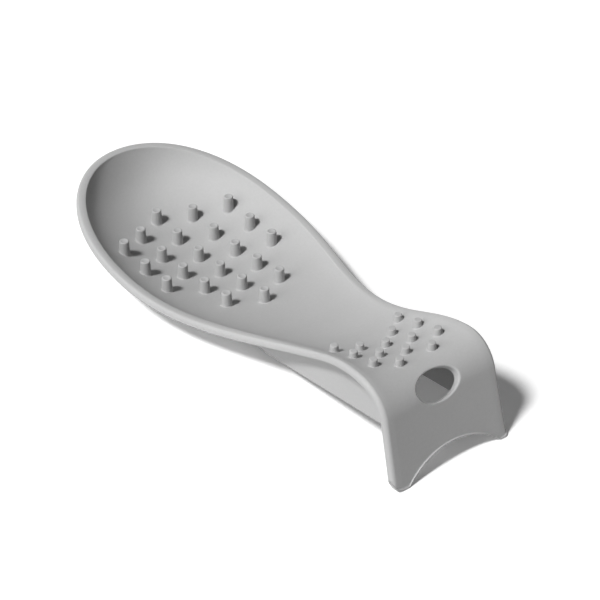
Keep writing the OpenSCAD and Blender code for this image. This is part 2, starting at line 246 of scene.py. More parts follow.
@dataclass
class Form:
    """Surfaces of the moulding, as functions of the distance along its path.

    The path follows the rim's top in the middle plane, from the bowl's tip over the crest
    and down the leg.

    Args:
        s: sizes of the moulding.
        feel: step over which slopes are measured.
        least_level: least cosine of the face's slope by which a depth is turned upright.
    """

    s: FormSizes
    feel: float = 0.5 * MM
    least_level: float = 0.5

    def __post_init__(self) -> None:
        """Works out the lengths, places and knots that follow from the sizes."""
        s = self.s
        self.bowl_in = s.bowl_w / 2 - s.rim_w
        self.waist_in = s.waist_w / 2 - s.rim_w
        self.leg_in = s.leg_w / 2 - s.rim_w
        self.foot_in = s.foot_w / 2 - s.rim_w
        self.bend = math.pi / 2 - s.leg_lean
        self.bend_end_z = s.crest_z - s.crest_r * (1 - math.cos(self.bend))
        self.crest_at = (
            s.overall_l
            - s.crest_r * math.sin(self.bend)
            - self.bend_end_z * math.tan(s.leg_lean)
        )
        self.waist_at = self.crest_at - s.waist_back
        self.leg_l = self.bend_end_z / math.cos(s.leg_lean)
        self.leg_at = self.crest_at + s.crest_r * self.bend
        self.path_end = self.leg_at + self.leg_l
        self.fade_at = self.crest_at - s.crest_r
        self.fade_l = 2 * s.crest_r + s.rim_w
        self.flare_at = self.crest_at - 2 * s.crest_r
        self.flare_l = 2 * s.crest_r + 2 * s.rim_w
        self.arch_w = s.foot_w - s.near_foot_w - s.far_foot_w
        self.arch_at = (s.near_foot_w - s.far_foot_w) / 2
        self.arch_r = (self.arch_w**2 / 4 + s.arch_h**2) / (2 * s.arch_h)
        self.tip: Knot = (0, s.tip_z, s.tip_slope)
        self.dip: Knot = (s.dip_at, s.dip_z, 0)
        self.waist: Knot = (self.waist_at, s.waist_z, s.waist_slope)
        self.crest: Knot = (self.crest_at, s.crest_z, 0)
        self.low: Knot = (s.low_at, s.floor_z, 0)
        self.knee: Knot = (s.knee_at, s.knee_z, s.knee_slope)
        self.trough: Knot = (self.waist_at, s.waist_z - s.trough_d, s.waist_slope)

    def neck_part(self, p: Places) -> Array:
        """How far the neck's form has taken over from the bowl's, from 0 to 1."""
        return step_up((p - self.s.knee_at) / (self.waist_at - self.s.knee_at))

    def leg_part(self, p: Places) -> Array:
        """How far the leg's form has taken over from the neck's, from 0 to 1."""
        return step_up((p - self.fade_at) / self.fade_l)

    def flare_part(self, p: Places) -> Array:
        """How far the widening from the neck to the leg has gone, from 0 to 1."""
        return step_up((p - self.flare_at) / self.flare_l)

    def half_in(self, p: Places) -> Array:
        """Half width inside the rim.

        Args:
            p: places along the path.

        Returns:
            Half widths at the places.
        """
        s = self.s
        p = np.asarray(p, float)
        r = np.clip((s.bowl_mid - p) / (s.bowl_mid - s.rim_w), 0, 1)
        front = self.bowl_in * (1 - r**s.blunt_in) ** s.blunt_out
        q = np.clip((p - s.bowl_mid) / (self.waist_at - s.bowl_mid), 0, 1)
        narrowing = (1 + np.cos(math.pi * q**s.shoulder)) / 2
        back = self.waist_in + (self.bowl_in - self.waist_in) * narrowing
        back += (self.leg_in - self.waist_in) * self.flare_part(p)
        back += (self.foot_in - self.leg_in) * np.maximum(0, p - self.leg_at) / self.leg_l
        return np.where(p <= s.bowl_mid, front, back)

    def turn(self, p: Places) -> Array:
        """Turn of the path past the crest, in radians."""
        p = np.asarray(p, float)
        return np.clip((p - self.crest_at) / self.s.crest_r, 0, self.bend)

    def rim_z(self, p: Places) -> Array:
        """Height of the rim before the crest.

        Args:
            p: places along the path.

        Returns:
            Heights at the places.
        """
        p = np.asarray(p, float)
        early = blend(p, self.tip, self.dip)
        middle = blend(p, self.dip, self.waist)
        late = blend(p, self.waist, self.crest)
        return np.where(p <= self.s.dip_at, early, np.where(p <= self.waist_at, middle, late))

    def path(self, p: Places) -> tuple[Array, Array]:
        """Points on the path.

        Args:
            p: places along the path.

        Returns:
            X and Z of the places.
        """
        s = self.s
        p = np.asarray(p, float)
        a = self.turn(p)
        rest = np.maximum(0, p - self.leg_at)
        x = self.crest_at + s.crest_r * np.sin(a) + rest * math.sin(s.leg_lean)
        z = s.crest_z - s.crest_r * (1 - np.cos(a)) - rest * math.cos(s.leg_lean)
        early = p <= self.crest_at
        rim_z = self.rim_z(np.minimum(p, self.crest_at))
        return np.where(early, p, x) - s.overall_l / 2, np.where(early, rim_z, z)

    def out(self, p: Places) -> tuple[Array, Array]:
        """X and Z of the direction out of the upper face."""
        a = self.turn(p)
        return np.sin(a), np.cos(a)

    def lip(self, p: Places) -> Array:
        """Drop of the rim's inner edge: a step on the bowl, a lean on the neck.

        Args:
            p: places along the path.

        Returns:
            Drops at the places.
        """
        neck = self.neck_part(p)
        roll = self.s.neck_roll * neck * (1 - self.leg_part(p))
        return self.s.rim_step * (1 - neck) + roll

    def dish(self, t: Places, even: Places) -> Array:
        """Rise of the hollow from 0 to 1, partly even and partly like a steep side."""
        return even * t * t + (1 - even) * t**self.s.side_power

    def floor_mid(self, p: Places) -> Array:
        """Height of the inner floor along the middle, before the waist.

        Args:
            p: places along the path.

        Returns:
            Heights at the places.
        """
        s = self.s
        p = np.asarray(p, float)
        r = np.clip((s.low_at - p) / (s.low_at - s.rim_w), 0, 1)
        rise = self.rim_z(s.rim_w) - s.rim_step - s.floor_z
        early = s.floor_z + rise * self.dish(r, s.tip_even)
        middle = blend(p, self.low, self.knee)
        late = blend(p, self.knee, self.trough)
        return np.where(p <= s.low_at, early, np.where(p <= s.knee_at, middle, late))

    def depth(self, p: Places) -> Array:
        """Depth of the hollow below the rim's inner edge.

        Args:
            p: places along the path.

        Returns:
            Depths at the places.
        """
        s = self.s
        p = np.asarray(p, float)
        early = np.maximum(0, self.rim_z(p) - self.lip(p) - self.floor_mid(p))
        late = s.trough_d + (s.leg_trough_d - s.trough_d) * self.leg_part(p) - self.lip(p)
        return np.where(p <= self.waist_at, early, late)

    def hollow(self, p: Places, t: Places) -> Array:
        """Shape of the hollow, from its middle at 0 to the rim at 1.

        Args:
            p: places along the path.
            t: places across, from -1 to 1.

        Returns:
            Shares of the hollow's depth by which the face has risen.
        """
        s = self.s
        neck = step_up((p - s.dip_at) / (self.waist_at - s.dip_at))
        return self.dish(np.abs(t), s.bowl_even + (s.neck_even - s.bowl_even) * neck)

    def sink(self, p: Places, t: Places) -> Array:
        """How far below the rim's top the inner face lies."""
        return self.lip(p) + self.depth(p) * (1 - self.hollow(p, t))

    def at(self, p: Places, y: Places, low: Places) -> Array:
        """Points of the moulding.

        Args:
            p: places along the path.
            y: places across.
            low: depths below the rim's top.

        Returns:
            The points, whose last axis is X, Y, Z.
        """
        x, z = self.path(p)
        ox, oz = self.out(p)
        return np.stack(np.broadcast_arrays(x - ox * low, y, z - oz * low), axis=-1)

    def steep(self, p: Places, t: Places) -> Array:
        """Steepness of the inner face, which the wall's thickness follows.

        Args:
            p: places along the path.
            t: places across, from -1 to 1.

        Returns:
            Length of the face over a unit of the plane below it.
        """
        d = self.feel
        w = np.maximum(self.half_in(p), self.s.rim_w)
        t = np.abs(t)
        outer = self.hollow(p, np.minimum(1, t + d / w))
        inner = self.hollow(p, np.maximum(0, t - d / w))
        dy = self.depth(p) * (outer - inner) / (2 * d)
        ahead = self.rim_z(p + d) - self.sink(p + d, 0)
        behind = self.rim_z(p - d) - self.sink(p - d, 0)
        dx = np.where(np.asarray(p) > self.crest_at, 0, (ahead - behind) / (2 * d))
        return np.minimum(self.s.steep_limit, np.sqrt(1 + dy * dy + dx * dx))

    def floor_at(self, x: Places, y: Places) -> Array:
        """Height of the inner face over points of the table.

        Args:
            x, y: the points.

        Returns:
            Heights over the points.
        """
        p = np.asarray(x, float) + self.s.overall_l / 2
        a = np.arcsin(np.clip((p - self.crest_at) / self.s.crest_r, 0, 1))
        p = np.where(p <= self.crest_at, p, self.crest_at + a * self.s.crest_r)
        t = np.clip(y / self.half_in(p), -1, 1)
        _, z = self.path(p)
        return z - self.sink(p, t) / np.maximum(np.cos(a), self.least_level)


@dataclass
class MeshBuilder:
    """Collects points and faces, and makes one smooth object of them.

    Args:
        points: the points so far.
        faces: the faces so far, as numbers of points.
        weld: distance within which points become one.
    """

    points: list[Point] = field(default_factory=list)
    faces: list[tuple[int, ...]] = field(default_factory=list)
    weld: float = 1e-7

    def add(self, points: Array) -> Array:
        """Adds an array of points.

        Args:
            points: array whose last axis is X, Y, Z.

        Returns:
            The points' numbers, in the array's shape.
        """
        flat = points.reshape(-1, 3)
        first = len(self.points)
        self.points.extend(map(tuple, flat.tolist()))
        return (first + np.arange(len(flat))).reshape(points.shape[:-1])

    def face(self, ids: Iterable[int]) -> None:
        """Adds one face, in which a point that comes twice counts once."""
        self.faces.append(tuple(dict.fromkeys(int(v) for v in ids)))

    def tube(self, ids: Array, keep: Array | None = None) -> None:
        """Adds the faces between neighbouring rows of points, each closed on itself.

        Args:
            ids: numbers of the points, as rows.
            keep: mask of the faces to add, or None for all.
        """
        cols = ids.shape[1]
        for i in range(ids.shape[0] - 1):
            for j in range(cols):
                if keep is None or keep[i, j]:
                    k = (j + 1) % cols
                    self.face((ids[i, j], ids[i, k], ids[i + 1, k], ids[i + 1, j]))

    def build(self, name: str) -> Object:
        """Makes the object.

        Args:
            name: the piece's name.

        Returns:
            The new object.
        """
        mesh = bpy.data.meshes.new(name)
        mesh.from_pydata(self.points, [], self.faces)
        work = bmesh.new()
        work.from_mesh(mesh)
        bmesh.ops.remove_doubles(work, verts=work.verts, dist=self.weld)
        bmesh.ops.dissolve_degenerate(work, edges=work.edges, dist=self.weld)
        bmesh.ops.recalc_face_normals(work, faces=work.faces)
        for face in work.faces:
            face.smooth = True
        work.to_mesh(mesh)
        work.free()
        obj = bpy.data.objects.new(name, mesh)
        bpy.context.scene.collection.objects.link(obj)
        return obj


def add_node(tree: Tree, kind: str, **values: float | tuple[float, ...]) -> bpy.types.Node:
    """Adds a node to a tree.

    Args:
        tree: node tree to add to.
        kind: the node's type.
        **values: values of its inputs, with _ for each space in an input's name.

    Returns:
        The new node.
    """
    node = tree.nodes.new(kind)
    for name, value in values.items():
        node.inputs[name.replace("_", " ")].default_value = value
    return node


def join(
    tree: Tree, way: Join, first: Socket, second: Socket | float, clamp: bool = False
) -> Socket:
    """Joins two values.

    Args:
        tree: node tree to add to.
        way: how they are joined.
        first: the first value.
        second: the second value, or a number.
        clamp: whether the result stays between 0 and 1.

    Returns:
        Socket of the result.
    """
    node = add_node(tree, "ShaderNodeMath")
    node.operation = way.value
    node.use_clamp = clamp
    tree.links.new(first, node.inputs[0])
    if isinstance(second, float):
        node.inputs[1].default_value = second
    else:
        tree.links.new(second, node.inputs[1])
    return node.outputs["Value"]


@dataclass(frozen=True)
class Silicone:
    """Makes the procedural material of the moulding.

    Args:
        finish: the look to make.
    """

    finish: SiliconeFinish

    @staticmethod
    def noise(tree: Tree, size: Pair) -> Socket:
        """Adds a noise that is fixed to the object.

        Args:
            tree: node tree to add to.
            size: scale and detail of the noise.

        Returns:
            Socket of the noise.
        """
        place = add_node(tree, "ShaderNodeTexCoord")
        node = add_node(tree, "ShaderNodeTexNoise", Scale=size[0], Detail=size[1])
        tree.links.new(place.outputs["Object"], node.inputs["Vector"])
        return node.outputs["Fac"]

    def drift(self, tree: Tree, size: Pair, middle: float, spread: float) -> Socket:
        """Adds a value that drifts from place to place.

        Args:
            tree: node tree to add to.
            size: scale and detail of the noise behind it.
            middle: middle of the value.
            spread: how far it drifts to either side.

        Returns:
            Socket of the value.
        """
        node = add_node(
            tree,
            "ShaderNodeMapRange",
            From_Min=self.finish.noise_low,
            From_Max=self.finish.noise_high,
            To_Min=middle - spread,
            To_Max=middle + spread,
        )
        tree.links.new(self.noise(tree, size), node.inputs["Value"])
        return node.outputs["Result"]

    def material(self, name: str) -> Material:
        """Builds the material.

        Args:
            name: the material's name.

        Returns:
            The material.
        """
        look = self.finish
        mat = bpy.data.materials.new(name)
        mat.use_nodes = True
        tree = mat.node_tree
        shader = tree.nodes["Principled BSDF"]
        tone = self.drift(tree, look.drift, look.colour, look.colour_spread)
        dust = self.drift(tree, look.specks, look.dust / 2, look.dust / 2)
        total = join(tree, Join.ADD, tone, dust)
        grey = add_node(tree, "ShaderNodeCombineColor")
        for socket in ("Red", "Green", "Blue"):
            tree.links.new(total, grey.inputs[socket])
        tree.links.new(grey.outputs["Color"], shader.inputs["Base Color"])
        sheen = self.drift(tree, look.patches, look.roughness, look.roughness_spread)
        tree.links.new(sheen, shader.inputs["Roughness"])
        shader.inputs["Specular IOR Level"].default_value = look.specular
        strength, high = look.grain_strength, look.grain
        bump = add_node(tree, "ShaderNodeBump", Strength=strength, Distance=high)
        tree.links.new(self.noise(tree, look.grains), bump.inputs["Height"])
        tree.links.new(bump.outputs["Normal"], shader.inputs["Normal"])
        return mat


@dataclass
class Piece(ABC):
    """A piece of the visual model.

    Args:
        form: surfaces to follow.
        name: the piece's name.
        nodes: CAD nodes that the piece stands for.
    """

    form: Form
    name: str
    nodes: tuple[str, ...]

    @abstractmethod
    def build(self) -> Object:
        """Builds the piece's object, each kind of piece in its own way."""

    def dress(self, obj: Object, material: Material) -> None:
        """Gives the piece its material, hangs it under the root body and hides the CAD parts
        that it stands for.

        Args:
            obj: the built piece.
            material: material of the moulding.
        """
        obj.data.materials.append(material)
        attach(obj, "root")
        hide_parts(*self.nodes)


@dataclass(frozen=True)
class RimShape:
    """Section of the rim.

    Args:
        top_round: how much of the width the round of the outer corner takes.
        side_round: how much of the depth it takes.
        leg_top, leg_side: how much more and less these are on the leg.
        low_round: how much of the width the lower corner's round takes.
        crown: height of the bowl's domed top, as a share of the width.
        step_round: width of the step's round on the bowl, as a share of the width.
        lean_end: how much of the flat the neck's lean takes.
        lean_w: width of the neck's lean, as a share of the width.
        steps: points over a round.
        flat: places of the points between the step and the outer corner.
        under: places of the points under the rim, as shares of the width.
    """

    top_round: float = 0.28
    side_round: float = 0.7
    leg_top: float = 0.12
    leg_side: float = 0.2
    low_round: float = 0.16
    crown: float = 0.085
    step_round: float = 0.1
    lean_end: float = 0.9
    lean_w: float = 0.8
    steps: int = 5
    flat: tuple[float, ...] = (0.25, 0.5, 0.75)
    under: tuple[float, ...] = (0.7, 0.58, 0.45, 0.32, 0.2, 0.08)

    @property
    def count(self) -> int:
        """Number of points in the section."""
        return 4 * self.steps + len(self.flat) + len(self.under)

    def profile(self, w: float, t: float, lip: float, neck: float, leg: float) -> Array:
        """Points of the section from the inner step over the top and down.

        Args:
            w: width of the rim.
            t: depth of the rim.
            lip: drop of the inner edge.
            neck: 0 on the bowl, 1 on the neck, where the top leans into the hollow.
            leg: 0 on the bowl and the neck, 1 on the leg, where the corner is rounder.

        Returns:
            Places outward and depths below the top, as rows.
        """
        rows: list[Pair] = []
        step_r = self.step_round * w
        top_r = (self.top_round + self.leg_top * leg) * w
        side_r = (self.side_round - self.leg_side * leg) * t
        crown = self.crown * w * (1 - neck) * (1 - leg)
        drop = lip - crown
        for k, a in enumerate(quarter(self.steps)):
            x = (w - top_r) * self.lean_end * k / (self.steps - 1)
            step = (step_r * (1 - math.cos(a)), drop * (1 - math.sin(a)))
            lean = (x, drop * (1 - x / (self.lean_w * w)) ** 2)
            rows.append(tuple(u * (1 - neck) + v * neck for u, v in zip(step, lean)))
        x, low = rows[-1]
        rows += [(x + (w - top_r - x) * share, low * (1 - share)) for share in self.flat]
        for a in quarter(2 * self.steps):
            rows.append((w - top_r + top_r * math.sin(a), side_r * (1 - math.cos(a))))
        rows = [(x, low + crown * (1 - 2 * x / w) ** 2) for x, low in rows]
        low_r = self.low_round * w
        for a in quarter(self.steps):
            rows.append((w - low_r + low_r * math.cos(a), t - low_r + low_r * math.sin(a)))
        rows += [(share * w, t) for share in self.under]
        return np.array(rows)


@dataclass(frozen=True)
class LegEnd:
    """The leg's lower edge: the arch, the two feet and the fine line above them.

    Args:
        form: surfaces to follow.
        edge_r: radius of the edge along the arch.
        foot_r: radius of the edge under the outer side of the near foot.
        edge_n: loops over the edge.
        bead: how far the fine line stands out of the leg's face.
        bead_w: width of that line.
        bead_n: loops over it.
        face_share, back_share: depths, as shares of the wall, between which it fades.
    """

    form: Form
    edge_r: float = 0.5 * MM
    foot_r: float = 1.3 * MM
    edge_n: int = 5
    bead: float = 0.5 * MM
    bead_w: float = 0.5 * MM
    bead_n: int = 4
    face_share: float = 0.25
    back_share: float = 0.75

    def bottom(self, y: Array) -> Array:
        """Height of the lower edge.

        Args:
            y: places across the leg.

        Returns:
            Heights at the places.
        """
        f, s = self.form, self.form.s
        u = y - f.arch_at
        arch = s.arch_h - f.arch_r + np.sqrt(np.maximum(0, f.arch_r**2 - u * u))
        r = np.where(y < 0, s.near_foot_r, s.far_foot_r)
        c = np.clip(np.abs(y) - (s.foot_w / 2 - r), 0, r)
        corner = r - np.sqrt(r * r - c * c)
        soft = np.where(np.abs(u) < f.arch_w / 2, np.maximum(arch, 0), 0)
        return np.maximum(soft, corner)

    def down(self, y: Array, low: Array) -> Array:
        """How far down the leg its lower edge lies, at places across and depths."""
        f, lean = self.form, self.form.s.leg_lean
        return (f.bend_end_z - low * math.sin(lean) - self.bottom(y)) / math.cos(lean)

    def radius(self, y: Array) -> Array:
        """Radius of the edge, which grows towards the outer side of the near foot."""
        foot = step_up(1 - (y + self.form.s.foot_w / 2) / self.form.s.near_foot_w)
        return self.edge_r + (self.foot_r - self.edge_r) * foot

    def bead_at(self, low: Array, up: float) -> Array:
        """How far the fine line stands out.

        Args:
            low: depths below the rim's top.
            up: distance above the lower edge.

        Returns:
            Distances out of the face.
        """
        share = self.back_share - low / self.form.s.wall
        front = step_up(share / (self.back_share - self.face_share))
        return self.bead * float(step_up(1 - up / self.bead_w)) * front

    def inset(self, loop: Array, r: Array) -> Array:
        """Moves the leg's section inward.

        Args:
            loop: places across and depths of the closed section.
            r: distances to move.

        Returns:
            The moved section, kept inside the leg's two edges.
        """
        s = self.form.s
        ahead = np.roll(loop, -1, axis=0)
        way = ahead - np.roll(loop, 1, axis=0)
        way = way / np.maximum(np.linalg.norm(way, axis=1, keepdims=True), TINY)
        normal = np.stack([way[:, 1], -way[:, 0]], axis=-1)
        area = np.sum(loop[:, 0] * ahead[:, 1] - ahead[:, 0] * loop[:, 1])
        moved = loop - normal * r[:, None] * (1 if area > 0 else -1)
        across = np.abs(loop[:, 0])
        side = across.max() - r
        moved[:, 0] = np.clip(moved[:, 0], -side, side)
        rim = across > s.foot_w / 2 - s.rim_w
        moved[rim, 1] = np.clip(moved[rim, 1], r[rim], s.rim_t - r[rim])
        return moved

    def loops(self, section: Callable[[float], Array], count: int) -> list[Array]:
        """Loops of points from the bend down to the rounded lower edge.

        Args:
            section: gives the moulding's section at a place along the path.
            count: number of even stations down the leg.

        Returns:
            The loops, from the top down.
        """
        f = self.form
        last = section(f.path_end)
        r = self.radius(last[:, 0])
        even = [k / count for k in range(count)]
        part = self.bead_w / (self.bead_n * f.leg_l)
        fine = [1 - k * part for k in range(self.bead_n, -1, -1)]
        loops = []
        for share in even + fine:
            y, low = section(f.leg_at + f.leg_l * share).T
            low = low - self.bead_at(low, (1 - share) * f.leg_l)
            loops.append(f.at(f.leg_at + (self.down(y, low) - r) * share, y, low))
        last[:, 1] -= self.bead_at(last[:, 1], 0.0)
        centre = self.inset(last, r)
        for a in quarter(self.edge_n + 1)[1:]:
            y, low = (last + (centre - last) * (1 - math.cos(a))).T
            p = f.leg_at + self.down(last[:, 0], low) - r + r * math.sin(a)
            loops.append(f.at(p, y, low))
        return loops


@dataclass
class HangingHole:
    """The oval hanging hole through the leg, with its thick collar.

    Args:
        form: surfaces to follow.
        room: how far round the hole the moulding's skin is opened.
        front_r, back_r: radii of the hole's edges in front and behind.
        front_n, back_n: steps over these edges.
        face_w: width of the collar's back face.
        foot_w: how far from the hole the collar's side ends.
        foot_t: height of that end over the leg's back face.
        fillet_w: how far from the hole the fillet round the collar ends.
        closing: places of the loops from the opening in the skin to the hole.
        path_back: how far before the crest the path is measured.
        path_n: points at which it is measured.
    """

    form: Form
    room: float = 5.5 * MM
    front_r: float = 1.0 * MM
    back_r: float = 0.6 * MM
    front_n: int = 8
    back_n: int = 4
    face_w: float = 1.2 * MM
    foot_w: float = 2.2 * MM
    foot_t: float = 0.5 * MM
    fillet_w: float = 3.4 * MM
    closing: tuple[float, ...] = (0.8, 0.6, 0.4, 0.22, 0.08, 0.0)
    path_back: float = 12.0 * MM
    path_n: int = 800

    def __post_init__(self) -> None:
        """Finds the hole's middle, its two directions and the path's places along it."""
        f, s = self.form, self.form.s
        self.middle = f.crest_at + s.hole_down
        tilt = float(f.turn(self.middle)) - s.hole_tilt
        self.down = (math.cos(tilt), -math.sin(tilt))
        self.out = (math.sin(tilt), math.cos(tilt))
        self.centre = tuple(float(v) for v in f.path(self.middle))
        self.places = np.linspace(f.crest_at - self.path_back, f.path_end, self.path_n)
        self.places_down = self.along(*f.path(self.places), self.down)

    def along(self, x: Array, z: Array, way: Pair) -> Array:
        """Distance from the hole's middle along one of its directions."""
        return (x - self.centre[0]) * way[0] + (z - self.centre[1]) * way[1]

    def face(self, v: Array, y: Array, low: float) -> Array:
        """Points straight below the leg's face, seen through the hole.

        Args:
            v: distances down from the hole's middle.
            y: places across.
            low: depth below the face.

        Returns:
            The points.
        """
        f = self.form
        p = np.interp(v, self.places_down, self.places)
        x, _, z = f.at(p, y, f.sink(p, y / f.half_in(p))).T
        v = self.along(x, z, self.down)
        h = self.along(x, z, self.out) - low
        x, z = (c + v * d + h * o for c, d, o in zip(self.centre, self.down, self.out))
        return np.stack([x, y, z], axis=-1)

    def outline(self, theta: Array, grow: float) -> tuple[Array, Array]:
        """Oval round the hole.

        Args:
            theta: directions of its points.
            grow: distance outside the hole.

        Returns:
            Distances down from the hole's middle, and places across.
        """
        c, n = np.cos(theta), np.sin(theta)
        high, wide = self.form.s.hole_h / 2 + grow, self.form.s.hole_w / 2 + grow
        r = 1 / np.sqrt((c / wide) ** 2 + (n / high) ** 2)
        return r * n, r * c

    def profile(self) -> list[Pair]:
        """Section of the hole's wall and collar, from the face to the leg's back.

        Returns:
            Distances outside the hole and depths below the face.
        """
        s = self.form.s
        rows = [
            (self.front_r * (1 - math.sin(a)), self.front_r * (1 - math.cos(a)))
            for a in quarter(self.front_n + 1)[1:]
        ]
        rows += [
            (self.back_r * (1 - math.cos(a)), s.collar_t - self.back_r * (1 - math.sin(a)))
            for a in quarter(self.back_n + 1)
        ]
        rows.append((self.face_w, s.collar_t))
        rows.append((self.foot_w, s.wall + self.foot_t))
        rows.append((self.fillet_w, s.wall))
        return rows

    def opening(self, stations: Array, across: Array) -> tuple[slice, slice, Array]:
        """Finds the opening that the hole needs in the skin.

        Args:
            stations: places of the skin's rows along the path.
            across: places across of the inner face's points, in rows.

        Returns:
            Rows and columns of the faces that go, and the rows and columns of the points
            round them.
        """
        s = self.form.s
        up, side = s.hole_h / 2 + self.room, s.hole_w / 2 + self.room
        top, end = np.searchsorted(stations, (self.middle - up, self.middle + up))
        near, far = np.searchsorted(across[top], (-side, side))
        points = (
            [(top, j) for j in range(near, far)]
            + [(i, far) for i in range(top, end)]
            + [(end, j) for j in range(far, near, -1)]
            + [(i, near) for i in range(end, top, -1)]
        )
        return slice(top, end), slice(near, far), np.array(points).T

    def loops(self, points: Array) -> list[Array]:
        """Loops of points from the opening in the skin through the hole to its back.

        Args:
            points: points round the opening in the inner face.

        Returns:
            The loops, from the front to the back.
        """
        x, y, z = points.T
        v = self.along(x, z, self.down)
        theta = np.arctan2(v, y)
        v0, y0 = self.outline(theta, self.front_r)
        loops = [self.face(v0 + (v - v0) * k, y0 + (y - y0) * k, 0.0) for k in self.closing]
        for grow, low in self.profile():
            loops.append(self.face(*self.outline(theta, grow), low))
        return loops


@dataclass
class Moulding(Piece):
    """The bowl, the neck, the leg and the rim, as one seamless skin.

    Args:
        tip_n: stations from the tip to the widest place.
        run_n: stations from there to the crest.
        bend_n: stations over the bend.
        leg_n: stations down the leg.
        across_n: lines from the middle to one side.
        rim: section of the rim.
    """

    tip_n: int = 56
    run_n: int = 96
    bend_n: int = 28
    leg_n: int = 30
    across_n: int = 40
    rim: RimShape = RimShape()

    @property
    def inner_n(self) -> int:
        """Number of points across the inner face."""
        return 2 * self.across_n + 1

    def behind(self, column: Array) -> Array:
        """Columns of the outer face behind columns of the inner face."""
        return 2 * self.inner_n - 3 + self.rim.count - column

    def stations(self) -> Array:
        """Distances along the path of the skin's loops.

        Returns:
            The distances, from the tip down to the feet.
        """
        f, s = self.form, self.form.s
        tip = s.rim_w + (s.bowl_mid - s.rim_w) * (1 - np.cos(quarter(self.tip_n + 1)))
        run = np.linspace(s.bowl_mid, f.crest_at, self.run_n + 1)
        bend = np.linspace(f.crest_at, f.leg_at, self.bend_n + 1)
        leg = np.linspace(f.leg_at, f.path_end, self.leg_n + 1)
        return np.concatenate([tip[:-1], run[:-1], bend[:-1], leg])

    def section(self, p: float) -> Array:
        """Closed section at a place along the path.

        Args:
            p: distance along the path.

        Returns:
            Places across and depths below the rim's top, over the inner face, the far
            rim, the outer face and the near rim.
        """
        f, s = self.form, self.form.s
        t = np.sin(np.linspace(-math.pi / 2, math.pi / 2, self.inner_n))
        half, sink = float(f.half_in(p)), f.sink(p, t)
        inner = np.stack([half * t, sink], axis=-1)
        outer = np.stack([half * t, sink + s.wall * f.steep(p, t)], axis=-1)
        lip, neck, leg = (float(part(p)) for part in (f.lip, f.neck_part, f.flare_part))
        far = self.rim.profile(s.rim_w, s.rim_t, lip, neck, leg) + np.array([half, 0.0])
        near = far[::-1] * np.array([-1, 1])
        return np.concatenate([inner[:-1], far, outer[::-1][1:-1], near[:-1]])

    def rim_edge(self, p: float) -> Array:
        """Point over the rim's inner edge on the far side."""
        x, z = self.form.path(p)
        return np.array([x, self.form.half_in(p), z], dtype=float)

    def turn_rim(self, points: Array, loop: Array, stations: Array, i: int) -> None:
        """Sets the rim's section square to the outline, as it is swept round the bowl.

        Args:
            points: points of one loop of the skin, which are changed.
            loop: their places across and depths.
            stations: distances along the path of all loops.
            i: number of this loop.
        """
        p = float(stations[i])
        tangent = np.array([0.0, 1.0, 0.0])
        if i > 0:
            tangent = self.rim_edge(stations[i + 1]) - self.rim_edge(stations[i - 1])
        out_x, out_z = self.form.out(p)
        up = np.array([float(out_x), 0.0, float(out_z)])
        side = np.cross(up, tangent)
        side = side / np.linalg.norm(side)
        edge = self.rim_edge(p)
        first, count = self.inner_n - 1, self.rim.count
        y, low = loop[first : first + count].T
        rim = edge + np.outer(y - edge[1], side) - np.outer(low, up)
        points[first : first + count] = rim
        points[-np.arange(count)] = rim * np.array([1, -1, 1])

    def close_end(self, builder: MeshBuilder, row: Array) -> None:
        """Closes the leg's lower end between its front and its back.

        Args:
            builder: takes the faces.
            row: numbers of the last loop's points.
        """
        middle = (self.rim.count - 1) // 2
        count = self.inner_n + 2 * middle
        front = [row[(k - middle) % len(row)] for k in range(count)]
        back = [row[(-k - middle) % len(row)] for k in range(count)]
        for k in range(count - 1):
            builder.face((front[k], front[k + 1], back[k + 1], back[k]))

    def build(self) -> Object:
        """Builds the skin.

        Returns:
            The new object.
        """
        f = self.form
        stations = self.stations()
        rows = []
        for i, p in enumerate(stations[: -self.leg_n - 1]):
            loop = self.section(float(p))
            points = f.at(p, loop[:, 0], loop[:, 1])
            if p < f.flare_at + f.flare_l:
                self.turn_rim(points, loop, stations, i)
            rows.append(points)
        rows += LegEnd(f).loops(self.section, self.leg_n)
        grid = np.array(rows)
        grid[..., 2] = np.maximum(grid[..., 2], 0.0)
        builder = MeshBuilder()
        ids = builder.add(grid)
        hole = HangingHole(f)
        down, across, (i, j) = hole.opening(stations, grid[:, : self.inner_n, 1])
        loops = [builder.add(loop) for loop in hole.loops(grid[i, j])]
        builder.tube(np.array([ids[i, j], *loops, ids[i, self.behind(j)]]))
        keep = np.ones((len(grid) - 1, grid.shape[1]), bool)
        keep[down, across] = False
        keep[down, self.behind(np.arange(across.start, across.stop) + 1)] = False
        builder.tube(ids, keep)
        self.close_end(builder, ids[-1])
        return builder.build(self.name)


